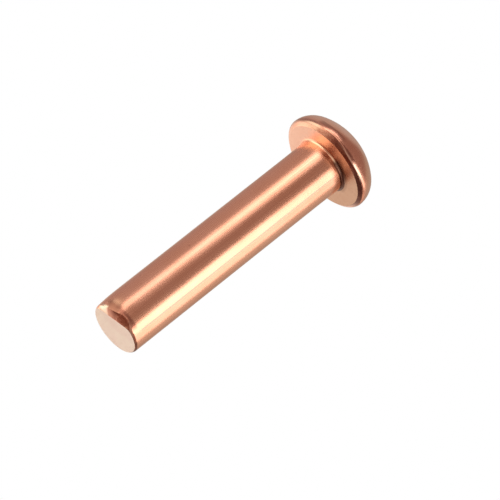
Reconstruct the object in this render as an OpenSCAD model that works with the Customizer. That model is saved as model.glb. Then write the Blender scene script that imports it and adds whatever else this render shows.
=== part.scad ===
// Round head rivet of solid copper: a drawn shank, a cold-headed round head and a cropped end.
// It stands on the cropped end. The shank's axis is Z, and the end's flat face lies at Z = 0.

/* [Shank] */
// Diameter of the shank
shank_d = 6; // [4:0.1:8]
// Length from the cropped end to the underside of the head
shank_l = 29.4; // [10:0.2:60]

/* [Head] */
// Diameter of the head at its widest
head_d = 10.95; // [9.6:0.05:14]
// Height of the head above its underside
head_h = 4; // [3:0.1:5]
// Width of the bevelled rim round the flat underside, as seen from below
rim_w = 0.54; // [0.4:0.02:0.8]
// How many millimetres the bevel rises for each one that it runs outwards
bevel_slope = 0.75; // [0.6:0.05:1.1]
// Radius of the corner between the flat underside and the bevel
corner_r = 0.12; // [0.05:0.01:0.2]
// Radius of the ridge between the bevel and the side of the head
ridge_r = 0.35; // [0.2:0.05:0.4]
// Radius of the shoulder, where the side of the head turns over into the crown
shoulder_r = 2.2; // [1:0.1:2.4]
// How far the head sits off the shank's axis, towards +X
head_shift = 0.15; // [0:0.05:0.4]

/* [Neck] */
// Radius of the fillet where the shank runs into the head
neck_r = 0.3; // [0.1:0.05:0.6]

/* [Cropped end] */
// Radius of the fine edge round the flat face
edge_r = 0.2; // [0.1:0.05:0.5]
// Width of the side that the cropping blade rolled over, measured across the end
roll_w = 1.3; // [1:0.05:1.6]
// Height of the rolled side, measured along the shank
roll_h = 0.85; // [0.4:0.05:0.95]
// Direction in which the rolled side faces, from +X towards +Y
roll_turn = -126; // [-180:2:180]

/* [Hidden] */
$fn = 96;

shank_r = shank_d / 2;
head_r = head_d / 2;
// The shank is carried on into the head by this much, so that the two are one piece of metal
root_h = head_h / 2;

// Direction in which the bevel faces, out and down, as the parts of a length of 1
bevel_down = 1 / sqrt(1 + bevel_slope ^ 2);
bevel_out = bevel_slope * bevel_down;
// Centres of the corner's arc and the ridge's arc, measured from the middle of the underside
corner_x = head_r - rim_w;
ridge_x = head_r - ridge_r;
// The bevel touches both arcs, so its run depends also on how much their radii differ
radii_gap = ridge_r - corner_r;
bevel_run = ridge_x - corner_x + radii_gap * bevel_out;
ridge_z = corner_r + bevel_run * bevel_slope + radii_gap * bevel_down;

// The shoulder's centre lies level with the ridge's, where the head is widest
shoulder_x = head_r - shoulder_r;
shoulder_z = ridge_z;
// The crown is an arc about the axis that touches the shoulder's arc from outside
crown_rise = head_h - shoulder_z;
crown_r = (shoulder_x ^ 2 + crown_rise ^ 2 - shoulder_r ^ 2) / (2 * (crown_rise - shoulder_r));
crown_z = head_h - crown_r;
// The line from the shoulder's centre through the point where the two arcs meet, carried on past both
meet_a = atan2(shoulder_z - crown_z, shoulder_x);
reach = crown_r + head_d;
meet_from = [shoulder_x, shoulder_z];
meet_to = meet_from + reach * [cos(meet_a), sin(meet_a)];

// The rolled side is an arc that leaves the flat face level and has risen by roll_h at the shank's side
roll_r = (roll_w ^ 2 + roll_h ^ 2) / (2 * roll_h);
roll_x = shank_r - roll_w;

// The quarter of a circle that lies to the right of its centre and below it
module quarter(r) {
    intersection() {
        circle(r);
        translate([0, -r]) square(r);
    }
}

// Half of the head's section: a flat underside, a bevelled rim, a shoulder and a crown
module head_section() {
    // The corner, the ridge and the bevel between them
    translate([corner_x, corner_r]) circle(corner_r);
    translate([ridge_x, ridge_z]) circle(ridge_r);
    polygon([
        [0, 0],
        [corner_x, 0],
        [corner_x + corner_r * bevel_out, corner_r - corner_r * bevel_down],
        [ridge_x + ridge_r * bevel_out, ridge_z - ridge_r * bevel_down],
        [ridge_x, ridge_z],
        [0, ridge_z]
    ]);
    // The shoulder, from level to where it meets the crown
    intersection() {
        translate(meet_from) circle(shoulder_r);
        polygon([meet_from, [shoulder_x + reach, shoulder_z], meet_to]);
    }
    // Under the crown
    intersection() {
        translate([0, crown_z]) circle(crown_r);
        polygon([[0, shoulder_z], meet_from, meet_to, [0, shoulder_z + reach]]);
    }
}

// Half of the shank's section: the fine edge, the fillet under the head and a root inside the head
module shank_section() {
    square([shank_r - edge_r, edge_r]);
    translate([shank_r - edge_r, edge_r]) quarter(edge_r);
    translate([0, edge_r]) square([shank_r, shank_l + root_h - edge_r]);
    translate([shank_r, shank_l - neck_r])
        difference() {
            square(neck_r);
            translate([neck_r, 0]) circle(neck_r);
        }
}

// Side view of the space that the cropping blade leaves to the shank, with the rolled side on the right
module cropped_side() {
    translate([-head_d, 0]) square([head_d + roll_x, shank_l + head_h]);
    translate([roll_x, roll_r]) {
        quarter(roll_r);
        square([head_d, shank_l + head_h]);
    }
}

module shank() {
    intersection() {
        rotate_extrude() shank_section();
        rotate([90, 0, roll_turn]) linear_extrude(2 * head_d, center = true) cropped_side();
    }
}

module head() {
    translate([head_shift, 0, shank_l]) rotate_extrude() head_section();
}

module rivet() {
    color("#c98466") {
        shank();
        head();
    }
}

rivet();
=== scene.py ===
"""A round head rivet of solid copper: the drawn shank, the cold-headed round head and the cropped end."""

import logging
import math
from dataclasses import dataclass
from enum import Enum

import bpy
from mathutils import Matrix, Vector


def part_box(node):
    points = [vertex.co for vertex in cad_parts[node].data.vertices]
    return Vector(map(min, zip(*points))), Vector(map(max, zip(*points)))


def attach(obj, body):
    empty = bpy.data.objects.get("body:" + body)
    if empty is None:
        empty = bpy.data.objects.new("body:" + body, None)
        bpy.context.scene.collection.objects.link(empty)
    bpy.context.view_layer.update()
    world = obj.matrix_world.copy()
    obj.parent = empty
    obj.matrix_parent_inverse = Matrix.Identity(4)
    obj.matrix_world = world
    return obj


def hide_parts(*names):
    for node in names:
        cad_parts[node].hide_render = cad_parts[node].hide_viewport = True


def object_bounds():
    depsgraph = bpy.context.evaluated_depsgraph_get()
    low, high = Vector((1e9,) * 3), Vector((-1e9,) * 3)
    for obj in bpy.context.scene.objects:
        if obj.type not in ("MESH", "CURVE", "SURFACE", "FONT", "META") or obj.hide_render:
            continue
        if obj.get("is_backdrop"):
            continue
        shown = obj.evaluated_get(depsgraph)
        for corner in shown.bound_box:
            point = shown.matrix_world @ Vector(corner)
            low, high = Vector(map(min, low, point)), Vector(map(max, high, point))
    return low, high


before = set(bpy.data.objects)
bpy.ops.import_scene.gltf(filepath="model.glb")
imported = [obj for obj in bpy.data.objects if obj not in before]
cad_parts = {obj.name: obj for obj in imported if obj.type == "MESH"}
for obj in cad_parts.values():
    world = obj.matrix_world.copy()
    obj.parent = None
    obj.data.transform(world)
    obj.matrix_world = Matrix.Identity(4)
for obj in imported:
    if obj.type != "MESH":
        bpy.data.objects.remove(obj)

log = logging.getLogger("rivet")

MM = 0.001

Colour = tuple[float, float, float]


class Zone(Enum):
    """The stretches that different tools left, each with its material's place on the mesh."""

    SHANK = 0
    HEAD = 1
    UNDERSIDE = 2
    CROPPED_EDGE = 3
    CROPPED_FACE = 4


# Nodes


class Graph:
    """A node tree, with short ways to add what is needed most."""

    def __init__(self, tree: bpy.types.NodeTree) -> None:
        """Takes a node tree and empties it.

        Args:
            tree: The node tree.
        """
        tree.nodes.clear()
        self.tree = tree

    def node(self, kind: str, settings: dict[str, object] | None = None, **inputs: object) -> bpy.types.Node:
        """Adds a node and fills its inputs.

        Args:
            kind: The node's type.
            settings: Its properties by name.
            **inputs: Values or sockets for its inputs. A name is the input's own, with spaces as underscores,
                or in_0, in_1 and so on for the input at that place.

        Returns:
            The node.
        """
        node = self.tree.nodes.new(kind)
        for name, value in (settings or {}).items():
            setattr(node, name, value)
        for name, value in inputs.items():
            key = int(name[3:]) if name.startswith("in_") else name.replace("_", " ")
            socket = node.inputs[key]
            if isinstance(value, bpy.types.NodeSocket):
                self.tree.links.new(value, socket)
            else:
                socket.default_value = value
        return node

    def add_group(self, group: bpy.types.NodeTree, **inputs: object) -> bpy.types.NodeSocket:
        """Places a node group with its own values, and returns the socket of its mask."""
        return self.node("ShaderNodeGroup", {"node_tree": group}, **inputs).outputs[0]

    def math(self, operation: str, *values: object) -> bpy.types.NodeSocket:
        """Works something out from one to three values, and returns the socket of the result."""
        inputs = {f"in_{place}": value for place, value in enumerate(values)}
        return self.node("ShaderNodeMath", {"operation": operation}, **inputs).outputs[0]

    def step(self, value: object, none: object, full: object) -> bpy.types.NodeSocket:
        """Steps softly from 0 to 1.

        Args:
            value: The socket of what is measured.
            none: The value at which the step is 0.
            full: The value at which the step is 1, which may be the lower one.

        Returns:
            The socket of the step.
        """
        return self.node("ShaderNodeMapRange", {"interpolation_type": "SMOOTHSTEP"}, Value=value,
                         From_Min=none, From_Max=full).outputs["Result"]

    def mix(self, mask: object, below: object, above: object) -> bpy.types.NodeSocket:
        """Lays one colour over another.

        Args:
            mask: The socket that says how far the upper colour covers the lower.
            below: The lower colour or its socket.
            above: The upper colour or its socket.

        Returns:
            The socket of the mixed colour.
        """
        return self.node("ShaderNodeMix", {"data_type": "RGBA"}, in_0=mask, in_6=below, in_7=above).outputs[2]


class Group(Graph):
    """A shader node group in the making."""

    def __init__(self, name: str) -> None:
        """Starts an empty group.

        Args:
            name: The group's name.
        """
        super().__init__(bpy.data.node_groups.new(name, "ShaderNodeTree"))
        self.entry = self.tree.nodes.new("NodeGroupInput")
        self.exit = self.tree.nodes.new("NodeGroupOutput")

    def input(self, name: str, kind: str = "NodeSocketFloat") -> bpy.types.NodeSocket:
        """Adds an input, and returns the socket inside the group."""
        self.tree.interface.new_socket(name, in_out="INPUT", socket_type=kind)
        return self.entry.outputs[name]

    def output(self, name: str, source: bpy.types.NodeSocket) -> None:
        """Adds a mask as an output and links a socket inside the group to it."""
        self.tree.interface.new_socket(name, in_out="OUTPUT", socket_type="NodeSocketFloat")
        self.tree.links.new(source, self.exit.inputs[name])


# Studio


@dataclass(frozen=True)
class Camera:
    """The camera, below the rivet's foot and turned about its own line of sight, as the picture was taken."""

    aim: tuple[float, float, float] = (2.219 * MM, 0.0, 17.0 * MM)
    distance: float = 355.7 * MM
    elevation: float = -24.42
    roll: float = 51.48
    lens: float = 252.0
    sensor: float = 36.0

    def build(self) -> bpy.types.Object:
        """Adds the camera and makes it the scene's own.

        Returns:
            The camera's object.
        """
        elevation = math.radians(self.elevation)
        back = Vector((0.0, -math.cos(elevation), math.sin(elevation)))
        level = Vector((1.0, 0.0, 0.0))
        upright = back.cross(level)
        roll = math.radians(self.roll)
        right = level * math.cos(roll) + upright * math.sin(roll)
        up = back.cross(right)
        data = bpy.data.cameras.new("camera")
        data.lens = self.lens
        data.sensor_width = self.sensor
        camera = bpy.data.objects.new("camera", data)
        bpy.context.scene.collection.objects.link(camera)
        turn = Matrix((right, up, back)).transposed().to_4x4()
        camera.matrix_world = Matrix.Translation(Vector(self.aim) + back * self.distance) @ turn
        bpy.context.scene.camera = camera
        return camera


@dataclass(frozen=True)
class Lamp:
    """A soft lamp. Its azimuth is 0 behind the camera and grows towards +X."""

    name: str
    azimuth: float
    height: float
    width: float
    length: float
    radiance: float
    lean: float = 0.0
    shape: str = "RECTANGLE"
    distance: float = 150 * MM

    def build(self, target: Vector) -> bpy.types.Object:
        """Hangs the lamp, facing the target.

        Args:
            target: The point that the lamp faces.

        Returns:
            The lamp's object.
        """
        azimuth = math.radians(self.azimuth)
        place = Vector((math.sin(azimuth), -math.cos(azimuth), 0.0)) * self.distance
        place.z = self.height
        data = bpy.data.lights.new(self.name, "AREA")
        data.shape = self.shape
        data.size = self.width
        data.size_y = self.length
        area = self.width * self.length * (math.pi / 4 if self.shape == "ELLIPSE" else 1.0)
        data.energy = self.radiance * math.pi * area
        lamp = bpy.data.objects.new(self.name, data)
        bpy.context.scene.collection.objects.link(lamp)
        facing = (target - place).to_track_quat("-Z", "Y")
        leaning = Matrix.Rotation(math.radians(self.lean), 4, "Z")
        lamp.matrix_world = Matrix.Translation(place) @ facing.to_matrix().to_4x4() @ leaning
        lamp.visible_camera = False
        return lamp


@dataclass(frozen=True)
class Patch:
    """A round, soft-edged patch of the surroundings, as bare metal mirrors them.

    Its azimuth is 0 behind the camera and grows towards +X. It is full within the inner angle from its middle
    and has faded out at the outer angle, all in degrees.
    """

    azimuth: float
    elevation: float
    inner: float
    outer: float
    colour: Colour

    def direction(self) -> Vector:
        """Works out the direction of the patch's middle.

        Returns:
            The direction from the rivet, one long.
        """
        azimuth = math.radians(self.azimuth)
        elevation = math.radians(self.elevation)
        level = math.cos(elevation)
        return Vector((math.sin(azimuth) * level, -math.cos(azimuth) * level, math.sin(elevation)))


@dataclass(frozen=True)
class Room:
    """The surroundings: white to the camera, and a dim room with pale walls and floor in the metal."""

    white: Colour = (1.0, 1.0, 1.0)
    fill: Colour = (0.75, 0.75, 0.75)
    dim: Colour = (0.30, 0.215, 0.195)
    patches: tuple[Patch, ...] = (
        # Walls and ceiling
        Patch(180.0, 30.0, 20.0, 50.0, (0.46, 0.43, 0.37)),
        Patch(-100.0, 16.0, 20.0, 60.0, (0.44, 0.36, 0.36)),
        Patch(-120.0, 62.0, 14.0, 38.0, (0.52, 0.56, 0.56)),
        Patch(112.0, 22.0, 6.0, 30.0, (0.58, 0.55, 0.50)),
        Patch(125.0, 50.0, 12.0, 26.0, (0.45, 0.47, 0.42)),
        # Pale floor and dark foot
        Patch(35.0, -28.0, 28.0, 48.0, (0.95, 1.20, 1.20)),
        Patch(-170.0, -26.0, 30.0, 55.0, (1.06, 1.06, 0.98)),
        Patch(-143.0, -34.0, 8.0, 22.0, (1.9, 1.85, 1.75)),
        Patch(-85.0, -26.0, 18.0, 38.0, (1.95, 2.35, 2.1)),
        Patch(0.0, -90.0, 30.0, 44.0, (0.30, 0.18, 0.135)),
        # Strips just below eye level
        Patch(-50.0, -8.0, 3.0, 12.0, (1.5, 1.3, 1.2)),
        Patch(-31.0, -8.0, 3.0, 12.0, (1.2, 1.05, 0.95)),
        Patch(-12.0, -8.0, 5.0, 14.0, (1.1, 1.0, 0.9)),
        Patch(7.0, -8.0, 5.0, 14.0, (0.5, 0.47, 0.44)),
        Patch(26.0, -8.0, 5.0, 14.0, (0.7, 0.65, 0.6)),
        Patch(128.0, -6.0, 8.0, 24.0, (0.80, 0.66, 0.56)),
    )

    def build(self) -> bpy.types.World:
        """Makes the world's shader.

        Returns:
            The world.
        """
        world = bpy.data.worlds.new("room")
        world.use_nodes = True
        bpy.context.scene.world = world
        graph = Graph(world.node_tree)
        to_metal = graph.node("ShaderNodeBackground", Color=self.mirrored(graph))
        to_camera = graph.node("ShaderNodeBackground", Color=(*self.white, 1.0))
        to_rest = graph.node("ShaderNodeBackground", Color=(*self.fill, 1.0))
        path = graph.node("ShaderNodeLightPath")
        from_metal = graph.math("MAXIMUM", path.outputs["Is Glossy Ray"], path.outputs["Is Transmission Ray"])
        unseen = graph.node("ShaderNodeMixShader", in_0=from_metal, in_1=to_rest.outputs[0],
                            in_2=to_metal.outputs[0])
        seen = graph.node("ShaderNodeMixShader", in_0=path.outputs["Is Camera Ray"], in_1=unseen.outputs[0],
                          in_2=to_camera.outputs[0])
        graph.node("ShaderNodeOutputWorld", Surface=seen.outputs[0])
        return world

    def mirrored(self, graph: Graph) -> bpy.types.NodeSocket:
        """Lays the patches over the dim room, one after another.

        Args:
            graph: The world's node tree.

        Returns:
            The socket of the colour that metal mirrors.
        """
        direction = graph.node("ShaderNodeTexCoord").outputs["Generated"]
        colour = graph.node("ShaderNodeRGB").outputs[0]
        colour.default_value = (*self.dim, 1.0)
        for patch in self.patches:
            along = graph.node("ShaderNodeVectorMath", {"operation": "DOT_PRODUCT"},
                               in_0=direction, in_1=patch.direction()).outputs["Value"]
            mask = graph.step(along, math.cos(math.radians(patch.outer)), math.cos(math.radians(patch.inner)))
            colour = graph.mix(mask, colour, (*patch.colour, 1.0))
        return colour


@dataclass(frozen=True)
class Floor:
    """The pale floor under the rivet. It can't be seen from below, and the metal mirrors the room instead."""

    radius: float = 400 * MM
    colour: Colour = (0.86, 0.86, 0.86)
    roughness: float = 0.9
    fade: tuple[float, float] = (65 * MM, 160 * MM)

    def build(self) -> bpy.types.Object:
        """Lays the floor at the foot of the rivet.

        Returns:
            The floor's object.
        """
        bpy.ops.object.select_all(action="DESELECT")
        bpy.ops.mesh.primitive_circle_add(vertices=64, radius=self.radius, fill_type="TRIFAN")
        floor = bpy.context.object
        floor.name = "floor"
        floor.data.materials.append(self.material())
        floor.visible_glossy = False
        floor.visible_transmission = False
        floor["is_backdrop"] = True
        return floor

    def material(self) -> bpy.types.Material:
        """Makes the floor's material, which fades into the white room.

        Returns:
            The material.
        """
        material = bpy.data.materials.new("pale_floor")
        material.use_nodes = True
        graph = Graph(material.node_tree)
        place = graph.node("ShaderNodeTexCoord").outputs["Object"]
        away = graph.node("ShaderNodeVectorMath", {"operation": "LENGTH"}, in_0=place).outputs["Value"]
        from_below = graph.node("ShaderNodeNewGeometry").outputs["Backfacing"]
        gone = graph.math("MAXIMUM", graph.step(away, *self.fade), from_below)
        paint = graph.node("ShaderNodeBsdfPrincipled", Base_Color=(*self.colour, 1.0),
                           Roughness=self.roughness)
        clear = graph.node("ShaderNodeBsdfTransparent")
        shown = graph.node("ShaderNodeMixShader", in_0=gone, in_1=paint.outputs[0], in_2=clear.outputs[0])
        graph.node("ShaderNodeOutputMaterial", Surface=shown.outputs[0])
        return material


class Studio:
    """The camera, the room, the floor and the lamps."""

    camera = Camera()
    room = Room()
    floor = Floor()
    lamps = (
        Lamp("left_lamp", -48.0, 56 * MM, 58 * MM, 104 * MM, 1.45, lean=-14.0),
        Lamp("left_top_lamp", -35.0, 100 * MM, 90 * MM, 36 * MM, 1.8, shape="ELLIPSE", distance=148 * MM),
        Lamp("right_lamp", 52.0, 56 * MM, 90 * MM, 104 * MM, 2.5),
        Lamp("side_lamp", 85.0, 56 * MM, 84 * MM, 104 * MM, 1.35),
    )

    def build(self) -> None:
        """Sets up everything round the rivet."""
        bpy.context.scene.view_settings.view_transform = "Standard"
        self.camera.build()
        self.room.build()
        self.floor.build()
        low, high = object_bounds()
        target = Vector((0.0, 0.0, (low.z + high.z) / 2))
        for lamp in self.lamps:
            lamp.build(target)
        log.info("studio: camera, room, floor and %d lamps", len(self.lamps))


# Finishes

# Where a noise's values turn from none to full
CLOUD_EDGE = (0.35, 0.65)
HOLE_EDGE = (0.48, 0.62)
STREAK_SPAN = (0.3, 0.7)

# How many spots lie along a metre in the uneven edges and holes of the bands, real marks and painted light
# alike
STAIN_AND_PAINTED_LIGHT_GRAIN = 3800.0


def streaks_group() -> bpy.types.NodeTree:
    """Makes the group of fine streaks that a drawing die or a cropping blade leaves along one direction.

    Returns:
        The group, with a mask of the streaks.
    """
    group = Group("streaks")
    vector = group.input("Vector", "NodeSocketVector")
    across = group.input("Across")
    along = group.input("Along")
    scale = group.node("ShaderNodeCombineXYZ", X=across, Y=across, Z=along).outputs[0]
    stretched = group.node("ShaderNodeVectorMath", {"operation": "MULTIPLY"}, in_0=vector, in_1=scale)
    noise = group.node("ShaderNodeTexNoise", Vector=stretched.outputs[0], Scale=1.0, Detail=3.0,
                       Roughness=0.6)
    group.output("Streaks", noise.outputs["Fac"])
    return group.tree


def specks_group() -> bpy.types.NodeTree:
    """Makes the group of scattered small pits and specks.

    Returns:
        The group, with a mask that is 1 in a speck.
    """
    group = Group("specks")
    vector = group.input("Vector", "NodeSocketVector")
    scale = group.input("Scale")
    size = group.input("Size")
    share = group.input("Share")
    cells = group.node("ShaderNodeTexVoronoi", Vector=vector, Scale=scale)
    disc = group.step(cells.outputs["Distance"], size, 0.0)
    pick = group.node("ShaderNodeSeparateColor", Color=cells.outputs["Color"]).outputs[0]
    chosen = group.math("LESS_THAN", pick, share)
    group.output("Specks", group.math("MULTIPLY", disc, chosen))
    return group.tree


def clouding_group() -> bpy.types.NodeTree:
    """Makes the group of faint clouds that handling and air leave on bare copper.

    Returns:
        The group, with a soft mask.
    """
    group = Group("clouding")
    vector = group.input("Vector", "NodeSocketVector")
    scale = group.input("Scale")
    noise = group.node("ShaderNodeTexNoise", Vector=vector, Scale=scale, Detail=4.0, Roughness=0.55)
    group.output("Clouding", group.step(noise.outputs["Fac"], *CLOUD_EDGE))
    return group.tree


def stain_and_painted_light_group() -> bpy.types.NodeTree:
    """Makes the group of a band of another tone between two heights, on one side of the axis, with an uneven
    edge and holes, for real marks and painted shade and highlights alike.

    Returns:
        The group, with a mask that is 1 in the band.
    """
    group = Group("stain")
    vector = group.input("Vector", "NodeSocketVector")
    low = group.input("Low")
    high = group.input("High")
    soft = group.input("Soft")
    facing = group.input("Facing", "NodeSocketVector")
    outer = group.input("Outer")
    inner = group.input("Inner")
    uneven = group.input("Uneven")
    holes = group.input("Holes")
    noise = group.node("ShaderNodeTexNoise", Vector=vector, Scale=STAIN_AND_PAINTED_LIGHT_GRAIN, Detail=2.0, Roughness=0.6)
    spots = noise.outputs["Fac"]

    # On one side of the axis
    place = group.node("ShaderNodeSeparateXYZ", Vector=vector)
    flat = group.node("ShaderNodeCombineXYZ", X=place.outputs[0], Y=place.outputs[1]).outputs[0]
    side = group.node("ShaderNodeVectorMath", {"operation": "NORMALIZE"}, in_0=flat).outputs[0]
    along = group.node("ShaderNodeVectorMath", {"operation": "DOT_PRODUCT"}, in_0=side, in_1=facing)
    turned = group.step(along.outputs["Value"], outer, inner)

    # Between two uneven heights
    height = group.math("MULTIPLY_ADD", group.math("SUBTRACT", spots, 0.5), uneven, place.outputs[2])
    above = group.step(height, group.math("SUBTRACT", low, soft), low)
    below = group.step(height, group.math("ADD", high, soft), high)
    whole = group.math("MULTIPLY", group.math("MULTIPLY", above, below), turned)

    # Less its holes
    hole = group.math("MULTIPLY", group.step(spots, *HOLE_EDGE), holes)
    group.output("Stain", group.math("MULTIPLY", whole, group.math("SUBTRACT", 1.0, hole)))
    return group.tree


@dataclass(frozen=True)
class Stain:
    """Metal of another tone between two heights, or between two distances from the axis if it is radial: a
    real mark, painted shade or a painted highlight.

    It faces one way and fades out from inner to outer degrees beside that. Its edge wanders by about a fifth
    of uneven to each side, and holes says how far the metal shows through it in spots.
    """

    colour: Colour
    low: float
    high: float
    soft: float
    facing: float
    inner: float
    outer: float
    radial: bool = False
    uneven: float = 0.2 * MM
    holes: float = 0.0

    def add(self, graph: Graph, group: bpy.types.NodeTree, place: bpy.types.NodeSocket,
            colour: bpy.types.NodeSocket) -> bpy.types.NodeSocket:
        """Lays the band over a colour.

        Args:
            graph: The material's node tree.
            group: The group of such a band.
            place: The socket of the place on the piece.
            colour: The socket of the colour below.

        Returns:
            The socket of the colour with the band laid over it.
        """
        turn = math.radians(self.facing)
        mask = graph.add_group(
            group, Vector=self.with_reach(graph, place) if self.radial else place,
            Low=self.low, High=self.high, Soft=self.soft, Facing=(math.cos(turn), math.sin(turn), 0.0),
            Outer=math.cos(math.radians(self.outer)), Inner=math.cos(math.radians(self.inner)),
            Uneven=self.uneven, Holes=self.holes)
        return graph.mix(mask, colour, (*self.colour, 1.0))

    @staticmethod
    def with_reach(graph: Graph, place: bpy.types.NodeSocket) -> bpy.types.NodeSocket:
        """Puts the distance from the axis in the place of the height.

        Args:
            graph: The material's node tree.
            place: The socket of the place on the piece.

        Returns:
            The socket of the changed place.
        """
        parts = graph.node("ShaderNodeSeparateXYZ", Vector=place)
        flat = graph.node("ShaderNodeCombineXYZ", X=parts.outputs[0], Y=parts.outputs[1]).outputs[0]
        reach = graph.node("ShaderNodeVectorMath", {"operation": "LENGTH"}, in_0=flat).outputs["Value"]
        return graph.node("ShaderNodeCombineXYZ", X=parts.outputs[0], Y=parts.outputs[1], Z=reach).outputs[0]


@dataclass(frozen=True)
class CopperFinish:
    """Bare copper as one tool left it: its colours, streaks, clouds and specks, with real marks, painted
    shade and painted highlights laid over it.

    Across, along and the scales say how many streaks, clouds or specks lie along a metre.
    """

    name: str
    colour: Colour
    cloud_colour: Colour
    speck_colour: Colour
    roughness: tuple[float, float]
    across: float
    along: float
    streak_depth: float
    cloud_scale: float
    speck_scale: float
    speck_share: float
    speck_size: float = 0.22
    grain_turn: tuple[float, float, float] = (0.0, 0.0, 0.0)
    mottle_depth: float = 0.002 * MM
    mottle_scale: float = 4500.0
    stains: tuple[Stain, ...] = ()

    def build(self, streaks: bpy.types.NodeTree, specks: bpy.types.NodeTree, clouding: bpy.types.NodeTree,
              stain: bpy.types.NodeTree) -> bpy.types.Material:
        """Makes the material.

        Args:
            streaks: The group of fine streaks.
            specks: The group of small pits.
            clouding: The group of faint clouds.
            stain: The group of a band of another tone.

        Returns:
            The material.
        """
        material = bpy.data.materials.new(self.name)
        material.use_nodes = True
        graph = Graph(material.node_tree)
        place = graph.node("ShaderNodeTexCoord").outputs["Object"]
        turned = graph.node("ShaderNodeMapping", Vector=place, Rotation=self.grain_turn).outputs[0]
        grain = graph.add_group(streaks, Vector=turned, Across=self.across, Along=self.along)
        cloud = graph.add_group(clouding, Vector=turned, Scale=self.cloud_scale)
        speck = graph.add_group(specks, Vector=turned, Scale=self.speck_scale, Size=self.speck_size,
                                Share=self.speck_share)
        colour = graph.mix(cloud, (*self.colour, 1.0), (*self.cloud_colour, 1.0))
        for layer in self.stains:
            colour = layer.add(graph, stain, place, colour)
        colour = graph.mix(speck, colour, (*self.speck_colour, 1.0))
        rough = graph.node("ShaderNodeMapRange", Value=grain, From_Min=STREAK_SPAN[0],
                           From_Max=STREAK_SPAN[1], To_Min=self.roughness[0], To_Max=self.roughness[1])
        mottle = graph.node("ShaderNodeTexNoise", Vector=place, Scale=self.mottle_scale, Detail=2.0)
        uneven = graph.node("ShaderNodeBump", Height=mottle.outputs["Fac"], Distance=self.mottle_depth)
        bump = graph.node("ShaderNodeBump", Height=graph.math("SUBTRACT", grain, speck),
                          Distance=self.streak_depth, Normal=uneven.outputs[0])
        copper = graph.node("ShaderNodeBsdfPrincipled", Base_Color=colour, Roughness=rough.outputs[0],
                            Metallic=1.0, Normal=bump.outputs[0])
        graph.node("ShaderNodeOutputMaterial", Surface=copper.outputs[0])
        return material


# Painted shade at the neck and on the underside
NECK_SHADE = Stain(
    (0.36, 0.12, 0.07), 28.78 * MM, 29.08 * MM, 0.12 * MM, facing=-84.0, inner=15.0, outer=27.0, holes=0.3)
# Painted shade in the crease between the shank and the head
NECK_CREASE_PAINTED_SHADE = Stain(
    (0.15, 0.06, 0.04), 29.02 * MM, 29.42 * MM, 0.12 * MM, facing=-30.0, inner=44.0, outer=57.0)
# Painted shade in a ring round the neck on the underside
NECK_RING_PAINTED_SHADE = Stain(
    (0.48, 0.25, 0.16), 3.2 * MM, 3.4 * MM, 0.3 * MM, facing=-31.0, inner=28.0, outer=45.0, radial=True)
UNDERSIDE_SHADE = Stain(
    (0.62, 0.34, 0.22), 29.3 * MM, 29.5 * MM, 0.1 * MM, facing=0.0, inner=36.0, outer=98.0)

# Painted shade and a painted highlight on the rim and the shoulder, and dark mottling on the rim
BEVEL_SHADE = Stain(
    (0.58, 0.20, 0.13), 29.44 * MM, 29.88 * MM, 0.06 * MM, facing=-109.0, inner=16.0, outer=23.0, holes=0.4)
# Painted shade: a dark band along the rim's bevel
RIM_BAND_PAINTED_SHADE = Stain(
    (0.19, 0.065, 0.045), 29.40 * MM, 29.66 * MM, 0.08 * MM, facing=-43.0, inner=33.0, outer=60.0, holes=0.1)
RIM_MOTTLE = Stain(
    (0.30, 0.10, 0.07), 29.42 * MM, 29.86 * MM, 0.06 * MM, facing=-80.0, inner=14.0, outer=28.0, holes=1.0)
RIDGE_SHADE = Stain(
    (0.62, 0.30, 0.21), 29.68 * MM, 30.05 * MM, 0.1 * MM, facing=-162.0, inner=22.0, outer=44.0)
# Painted highlight: a paler line along the ridge on one side
RIDGE_PAINTED_HIGHLIGHT = Stain(
    (0.92, 0.52, 0.37), 29.66 * MM, 29.95 * MM, 0.06 * MM, facing=-60.0, inner=6.0, outer=18.0)
LINE_SHADE = Stain(
    (0.44, 0.18, 0.12), 29.62 * MM, 30.0 * MM, 0.1 * MM, facing=-84.0, inner=9.0, outer=17.0)
SHOULDER_SHADE = Stain(
    (0.55, 0.25, 0.17), 30.22 * MM, 30.6 * MM, 0.1 * MM, facing=-114.0, inner=12.0, outer=22.0)

# A draw line along the shank, and painted shade and a painted highlight near the cropped end
DRAW_LINE = Stain(
    (0.70, 0.33, 0.24), 1.5 * MM, 28.5 * MM, 0.5 * MM, facing=-54.5, inner=0.4, outer=1.6)
SIDE_SHADE = Stain(
    (0.33, 0.115, 0.075), 0.34 * MM, 0.8 * MM, 0.6 * MM, facing=-133.0, inner=8.0, outer=26.0)
# Painted shade on the shank just above the torn side
TEAR_TOP_PAINTED_SHADE = Stain(
    (0.50, 0.20, 0.13), 0.3 * MM, 0.8 * MM, 0.3 * MM, facing=-91.0, inner=16.0, outer=31.0)
# Painted shade: a dark line along the edge of the cropped face on one side
FACE_LINE_PAINTED_SHADE = Stain(
    (0.20, 0.07, 0.04), -0.1 * MM, 0.24 * MM, 0.1 * MM, facing=-35.0, inner=50.0, outer=66.0)
EDGE_SHADE = Stain(
    (0.30, 0.11, 0.07), -0.1 * MM, 0.5 * MM, 0.1 * MM, facing=-35.0, inner=48.0, outer=66.0)
TORN_SHADE = Stain(
    (0.54, 0.19, 0.12), -0.1 * MM, 0.9 * MM, 0.1 * MM, facing=-98.0, inner=22.0, outer=36.0, holes=0.6)
# Painted highlight at the corner where the torn side begins
CORNER_GLEAM = Stain(
    (0.90, 0.62, 0.46), -0.1 * MM, 0.4 * MM, 0.1 * MM, facing=-160.0, inner=5.0, outer=18.0)

# The grain of the cropped face lies across it, the way that the blade went
BLADE_GRAIN = (math.radians(90), 0.0, 0.6)

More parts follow.
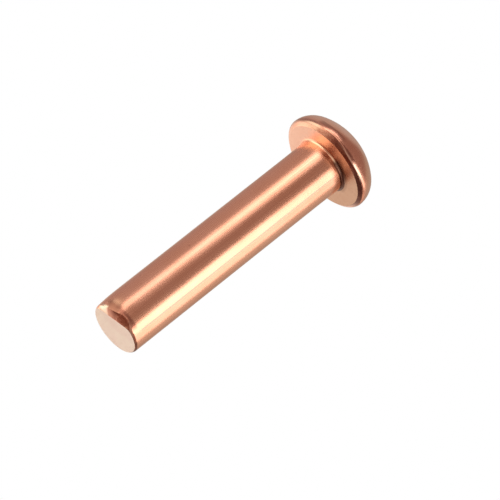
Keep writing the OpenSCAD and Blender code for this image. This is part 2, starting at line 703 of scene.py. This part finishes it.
FINISHES = {
    Zone.SHANK: CopperFinish(
        "drawn_copper", colour=(0.93, 0.46, 0.30), cloud_colour=(0.90, 0.43, 0.27),
        speck_colour=(0.55, 0.24, 0.15), roughness=(0.24, 0.30), across=9000.0, along=120.0,
        streak_depth=0.003 * MM, cloud_scale=220.0, speck_scale=1500.0, speck_share=0.05,
        stains=(NECK_SHADE, NECK_CREASE_PAINTED_SHADE, DRAW_LINE, SIDE_SHADE, TEAR_TOP_PAINTED_SHADE, FACE_LINE_PAINTED_SHADE)),
    Zone.HEAD: CopperFinish(
        "pressed_copper", colour=(0.90, 0.44, 0.30), cloud_colour=(0.84, 0.38, 0.25),
        speck_colour=(0.5, 0.2, 0.12), roughness=(0.22, 0.30), across=2500.0, along=2500.0,
        streak_depth=0.003 * MM, cloud_scale=260.0, speck_scale=1500.0, speck_share=0.05,
        stains=(BEVEL_SHADE, RIM_BAND_PAINTED_SHADE, RIM_MOTTLE, RIDGE_SHADE, RIDGE_PAINTED_HIGHLIGHT, LINE_SHADE, SHOULDER_SHADE)),
    Zone.UNDERSIDE: CopperFinish(
        "die_faced_copper", colour=(0.95, 0.55, 0.41), cloud_colour=(0.92, 0.51, 0.37),
        speck_colour=(0.6, 0.3, 0.2), roughness=(0.34, 0.42), across=2500.0, along=2500.0,
        streak_depth=0.003 * MM, cloud_scale=400.0, speck_scale=1800.0, speck_share=0.05,
        stains=(UNDERSIDE_SHADE, NECK_RING_PAINTED_SHADE)),
    Zone.CROPPED_EDGE: CopperFinish(
        "sheared_copper", colour=(0.95, 0.43, 0.29), cloud_colour=(0.88, 0.37, 0.24),
        speck_colour=(0.4, 0.15, 0.1), roughness=(0.26, 0.34), across=5000.0, along=5000.0,
        streak_depth=0.004 * MM, cloud_scale=500.0, speck_scale=2500.0, speck_share=0.05,
        stains=(EDGE_SHADE, TORN_SHADE, SIDE_SHADE, CORNER_GLEAM)),
    Zone.CROPPED_FACE: CopperFinish(
        "cropped_copper", colour=(0.86, 0.65, 0.54), cloud_colour=(0.84, 0.60, 0.51),
        speck_colour=(0.7, 0.45, 0.34), roughness=(0.34, 0.42), across=9000.0, along=400.0,
        streak_depth=0.002 * MM, cloud_scale=400.0, speck_scale=2500.0, speck_share=0.04,
        grain_turn=BLADE_GRAIN),
}


# Rivet

# Below this cosine a direction faces away from the rolled side
FACES_AWAY = 0.1

# The shift of a ring that is centred on the shank's axis
NO_SHIFT = Vector((0.0, 0.0))


class RingStack:
    """A surface grown ring by ring from the foot: each ring is the last one extruded, scaled and moved."""

    def __init__(self, name: str, segments: int, radius: float) -> None:
        """Adds the first ring at the origin and enters edit mode.

        Args:
            name: The name of the object.
            segments: The number of points in each ring.
            radius: The first ring's radius.
        """
        bpy.ops.object.select_all(action="DESELECT")
        bpy.ops.mesh.primitive_circle_add(vertices=segments, radius=radius, fill_type="NOTHING")
        self.object = bpy.context.object
        self.object.name = name
        self.object.data.name = name
        self.radius = radius
        self.centre = Vector((0.0, 0.0, 0.0))
        bpy.ops.object.mode_set(mode="EDIT")
        bpy.ops.mesh.select_mode(type="VERT")
        bpy.ops.mesh.select_all(action="SELECT")

    def ring(self, radius: float, height: float, shift: Vector = NO_SHIFT) -> None:
        """Extrudes the last ring to a new one.

        Args:
            radius: The new ring's radius.
            height: The new ring's height.
            shift: How far the new ring's centre sits off the axis.
        """
        centre = shift.to_3d() + Vector((0.0, 0.0, height))
        bpy.ops.mesh.extrude_region_move(TRANSFORM_OT_translate={"value": centre - self.centre})
        factor = radius / self.radius
        bpy.ops.transform.resize(value=(factor, factor, 1.0), center_override=centre)
        self.radius = radius
        self.centre = centre

    def close(self) -> None:
        """Closes both open ends with a fan of faces and leaves edit mode."""
        bpy.ops.mesh.select_all(action="DESELECT")
        bpy.ops.mesh.select_non_manifold()
        bpy.ops.mesh.edge_face_add()
        bpy.ops.mesh.select_mode(type="FACE")
        bpy.ops.mesh.poke()
        bpy.ops.mesh.select_all(action="SELECT")
        bpy.ops.mesh.normals_make_consistent(inside=False)
        bpy.ops.object.mode_set(mode="OBJECT")


@dataclass(frozen=True)
class SideForm:
    """A form that has its full size in one direction and falls softly to nothing beside that.

    Its middle and its half width are in degrees, counted from +X.
    """

    middle: float
    spread: float
    size: float = 1.0

    def at(self, turn: float) -> float:
        """Says how much of the form there is in a direction.

        Args:
            turn: The direction, in radians from +X.

        Returns:
            The form's size there.
        """
        aside = (math.degrees(turn) - self.middle + 180) % 360 - 180
        return self.size * math.exp(-(aside / self.spread) ** 2)


@dataclass(frozen=True)
class Rings:
    """How many rings each stretch has, or where they sit as shares of the way out, and the points round each.

    The wall's rings gather near the foot, by the power of wall_gather.
    """

    around: int = 256
    face: tuple[float, ...] = (0.1, 0.22, 0.34, 0.46, 0.56, 0.66, 0.74, 0.82, 0.89, 0.95, 0.99, 1.0)
    edge: int = 16
    wall: int = 30
    wall_gather: float = 1.5
    neck: int = 8
    underside: tuple[float, ...] = (0.25, 0.5, 0.75, 0.95)
    corner: int = 4
    ridge: int = 10
    shoulder: int = 16
    crown: int = 18


@dataclass
class Rivet:
    """The rivet, in one piece of metal."""

    shank_r: float = 3.0 * MM
    shank_l: float = 29.4 * MM
    neck_r: float = 0.3 * MM
    neck_swell: float = 0.036 * MM
    swell_from: float = 3.4 * MM

    # Head
    rim_w: float = 0.54 * MM
    bevel_slope: float = 0.75
    corner_r: float = 0.12 * MM
    ridge_r: float = 0.45 * MM
    shoulder_r: float = 2.2 * MM
    crown_end: float = 88.5
    worn: SideForm = SideForm(-70.0, 21.0, 0.75)
    raised: SideForm = SideForm(-108.0, 18.0, 0.65)
    worn_h: float = 2.2 * MM

    # Cropped end
    face_r: float = 2.8 * MM
    edge_h: float = 0.35 * MM
    edge_flat: float = 0.6
    fine: SideForm = SideForm(-40.0, 45.0)
    fine_face_r: float = 2.94 * MM
    fine_h: float = 0.27 * MM

    # Rolled side of the cropped end
    roll_w: float = 1.3 * MM
    roll_h: float = 0.26 * MM
    roll_turn: float = -126.0
    roll_blend: float = 0.3 * MM
    slant_blend: float = 0.3 * MM
    lip_share: float = 0.25
    lip_power: int = 6
    tear: SideForm = SideForm(-88.0, 24.0, 0.40 * MM)
    tear_power: float = 0.5
    drawn: SideForm = SideForm(-140.0, 38.0, 0.42 * MM)
    drawn_power: int = 3
    press_top: float = 3.0 * MM

    # Finishes and smooth shading, by the faces' normals
    edge_normal: float = -0.25
    face_normal: float = -0.999
    underside_normal: float = -0.97
    smooth_angle: float = 40.0

    rings: Rings = Rings()

    def __post_init__(self) -> None:
        """Takes the head's size and place from the frame."""
        low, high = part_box("rivet")
        self.head_r = (high.y - low.y) / 2
        self.head_shift = Vector(((high.x + low.x) / 2, 0.0))
        self.height = high.z
        self.flat_r = self.head_r - self.rim_w

    def build(self) -> bpy.types.Object:
        """Models and dresses the rivet.

        Returns:
            The rivet's object.
        """
        stack = RingStack("round_head_rivet", self.rings.around, self.face_r * self.rings.face[0])
        self.grow_end(stack)
        self.grow_shank(stack)
        self.grow_neck(stack)
        self.grow_head(stack)
        stack.close()
        rivet = stack.object
        self.roll_end(rivet)
        self.paint_zones(rivet)
        self.settle_rim(rivet)
        bpy.ops.object.shade_smooth_by_angle(angle=math.radians(self.smooth_angle))
        return rivet

    def grow_end(self, stack: RingStack) -> None:
        """Grows the flat face and the fine edge round it.

        Args:
            stack: The surface so far.
        """
        for share in self.rings.face[1:]:
            stack.ring(self.face_r * share, 0.0)
        for step in range(1, self.rings.edge + 1):
            turn = step / self.rings.edge * math.pi / 2
            out, up = math.sin(turn), 1 - math.cos(turn)
            chord = (out + up) / 2 * self.edge_flat
            out = out * (1 - self.edge_flat) + chord
            up = up * (1 - self.edge_flat) + chord
            stack.ring(self.face_r + (self.shank_r - self.face_r) * out, self.edge_h * up)

    def roll_end(self, rivet: bpy.types.Object) -> None:
        """Breaks one side of the cropped end off at a slant and rolls its edge over, as the blade did.

        Args:
            rivet: The rivet's object, with an even edge round its flat face.
        """
        for vertex in rivet.data.vertices:
            place = vertex.co
            if place.z >= self.press_top:
                continue
            turn = math.atan2(place.y, place.x)
            across = math.hypot(place.x, place.y)
            move = self.on_edge if place.z <= self.edge_h else self.on_wall
            radius, height = move(turn, across, place.z)
            vertex.co = (radius * math.cos(turn), radius * math.sin(turn), height)

    def on_edge(self, turn: float, across: float, rise: float) -> tuple[float, float]:
        """Moves a point of the even face and edge to its place on the uneven ones.

        Args:
            turn: The point's direction, in radians from +X.
            across: Its distance from the axis.
            rise: Its height.

        Returns:
            Its new distance from the axis and its new height.
        """
        face_r = self.face_reach(turn)
        out = max(0.0, (across - self.face_r) / (self.shank_r - self.face_r))
        lip = 1 - math.sqrt(max(0.0, 1 - out ** self.lip_power))
        slant = (1 - self.lip_share) * out + self.lip_share * lip
        broken = min(1.0, max(0.0, (self.face_r - face_r) / self.slant_blend))
        up = rise / self.edge_h * (1 - broken) + slant * broken
        inner = min(across, self.face_r) * face_r / self.face_r
        return inner + (self.side_reach(turn) - face_r) * out, self.edge_top(turn, face_r) * up

    def on_wall(self, turn: float, across: float, rise: float) -> tuple[float, float]:
        """Moves a point of the straight wall above the edge to its place on the drawn-in one.

        Args:
            turn: The point's direction, in radians from +X.
            across: Its distance from the axis.
            rise: Its height.

        Returns:
            Its new distance from the axis and its new height.
        """
        height = self.edge_top(turn, self.face_reach(turn))
        share = (self.press_top - rise) / (self.press_top - self.edge_h)
        radius = across - (self.shank_r - self.side_reach(turn)) * share ** self.drawn_power
        return radius, self.press_top - (self.press_top - height) * share

    def side_reach(self, turn: float) -> float:
        """Says how far the wall reaches from the axis just above the edge, where the blade drew it in."""
        return self.shank_r - self.drawn.at(turn)

    def face_reach(self, turn: float) -> float:
        """Says how far the flat face reaches from the axis.

        Args:
            turn: The direction, in radians from +X.

        Returns:
            The distance to the edge of the flat face, with a soft corner where the broken side begins.
        """
        whole = self.face_r + (self.fine_face_r - self.face_r) * self.fine.at(turn)
        facing = math.cos(turn - math.radians(self.roll_turn))
        if facing < FACES_AWAY:
            return whole
        chord = (self.shank_r - self.roll_w) / facing
        gap = whole - chord
        return whole - (gap + math.sqrt(gap * gap + self.roll_blend ** 2)) / 2

    def edge_top(self, turn: float, face_r: float) -> float:
        """Says how high the edge or the broken side reaches up the shank.

        Args:
            turn: The direction, in radians from +X.
            face_r: How far the flat face reaches in that direction.

        Returns:
            The height above the face.
        """
        edge = self.edge_h + (self.fine_h - self.edge_h) * self.fine.at(turn)
        torn = self.roll_h + self.tear.at(turn)
        width = min(1.0, max(0.0, (self.face_r - face_r) / (self.roll_w - self.shank_r + self.face_r)))
        return edge + (torn - edge) * width ** self.tear_power

    def settle_rim(self, rivet: bpy.types.Object) -> None:
        """Lowers the ridge of the rim on one side, where the die was worn, and raises it beside that.

        Args:
            rivet: The rivet's object, with an even rim.
        """
        for vertex in rivet.data.vertices:
            place = vertex.co - self.head_shift.to_3d()
            rise = place.z - self.shank_l
            if rise <= 0:
                continue
            turn = math.atan2(place.y, place.x)
            fade = max(0.0, 1 - rise / self.worn_h) ** 2
            vertex.co.z += rise * fade * (self.raised.at(turn) - self.worn.at(turn))

    def grow_shank(self, stack: RingStack) -> None:
        """Grows the shank up to the neck, where it swells a little.

        Args:
            stack: The surface so far.
        """
        bottom = self.edge_h
        top = self.shank_l - self.neck_r
        for step in range(1, self.rings.wall + 1):
            height = bottom + (top - bottom) * (step / self.rings.wall) ** self.rings.wall_gather
            swell = max(0.0, 1 - (top - height) / self.swell_from)
            stack.ring(self.shank_r + self.neck_swell * swell ** 2, height)

    def grow_neck(self, stack: RingStack) -> None:
        """Grows the fillet between the shank and the head.

        Args:
            stack: The surface so far.
        """
        outer = self.shank_r + self.neck_swell + self.neck_r
        for step in range(1, self.rings.neck + 1):
            turn = step / self.rings.neck * math.pi / 2
            height = self.shank_l - self.neck_r * (1 - math.sin(turn))
            stack.ring(outer - self.neck_r * math.cos(turn), height)

    def grow_head(self, stack: RingStack) -> None:
        """Grows the underside, the bevelled rim, the shoulder and the crown.

        Args:
            stack: The surface so far.
        """
        base = self.shank_l
        for share in self.rings.underside:
            radius = self.shank_r + self.neck_r + (self.flat_r - self.shank_r - self.neck_r) * share
            stack.ring(radius, base, self.head_shift * share)
        stack.ring(self.flat_r, base, self.head_shift)
        slope = math.atan(self.bevel_slope)
        facing = math.degrees(slope) - 90
        corner_z = base + self.corner_r
        self.grow_arc(stack, self.flat_r, corner_z, self.corner_r, -90.0, facing, self.rings.corner)
        ridge_x = self.head_r - self.ridge_r
        gap = self.ridge_r - self.corner_r
        run = ridge_x - self.flat_r + gap * math.sin(slope)
        ridge_z = corner_z + run * self.bevel_slope + gap * math.cos(slope)
        self.grow_arc(stack, ridge_x, ridge_z, self.ridge_r, facing, 0.0, self.rings.ridge, start=0)
        shoulder_x = self.head_r - self.shoulder_r
        rise = self.height - ridge_z
        crown_r = (shoulder_x ** 2 + rise ** 2 - self.shoulder_r ** 2) / (2 * (rise - self.shoulder_r))
        crown_z = self.height - crown_r
        meet = math.degrees(math.atan2(ridge_z - crown_z, shoulder_x))
        self.grow_arc(stack, shoulder_x, ridge_z, self.shoulder_r, 0.0, meet, self.rings.shoulder)
        self.grow_arc(stack, 0.0, crown_z, crown_r, meet, self.crown_end, self.rings.crown)

    def grow_arc(self, stack: RingStack, x: float, z: float, radius: float, low: float, high: float,
                 steps: int, start: int = 1) -> None:
        """Grows the head along an arc.

        Args:
            stack: The surface so far.
            x: The distance of the arc's centre from the head's axis.
            z: The height of the arc's centre.
            radius: The arc's radius.
            low: The angle at which it starts, in degrees above the horizontal.
            high: The angle at which it ends.
            steps: The number of stretches between its rings.
            start: The first ring, which is 0 where the arc's own start needs one.
        """
        for step in range(start, steps + 1):
            turn = math.radians(low + (high - low) * step / steps)
            stack.ring(x + radius * math.cos(turn), z + radius * math.sin(turn), self.head_shift)

    def paint_zones(self, rivet: bpy.types.Object) -> None:
        """Gives each stretch of the rivet its own copper.

        Args:
            rivet: The rivet's object.
        """
        groups = (streaks_group(), specks_group(), clouding_group(), stain_and_painted_light_group())
        for zone in Zone:
            rivet.data.materials.append(FINISHES[zone].build(*groups))
        for face in rivet.data.polygons:
            face.material_index = self.zone_at(face.center, face.normal).value

    def zone_at(self, place: Vector, normal: Vector) -> Zone:
        """Says which stretch a face belongs to.

        Args:
            place: The face's middle.
            normal: The face's normal.

        Returns:
            The stretch.
        """
        if place.z < self.roll_h + self.tear.size and normal.z < self.edge_normal:
            return Zone.CROPPED_FACE if normal.z < self.face_normal else Zone.CROPPED_EDGE
        if place.z > self.shank_l + self.corner_r / 2:
            return Zone.HEAD
        if normal.z < self.underside_normal and place.z > self.shank_l / 2:
            return Zone.UNDERSIDE
        return Zone.SHANK


def main() -> None:
    """Builds the studio and the rivet, and reports each piece."""
    logging.basicConfig(level=logging.INFO, format="%(message)s")
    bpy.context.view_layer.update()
    Studio().build()
    rivet = Rivet().build()
    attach(rivet, "root")
    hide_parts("rivet")
    log.info("%s: %d faces", rivet.name, len(rivet.data.polygons))


if __name__ == "__main__":
    main()
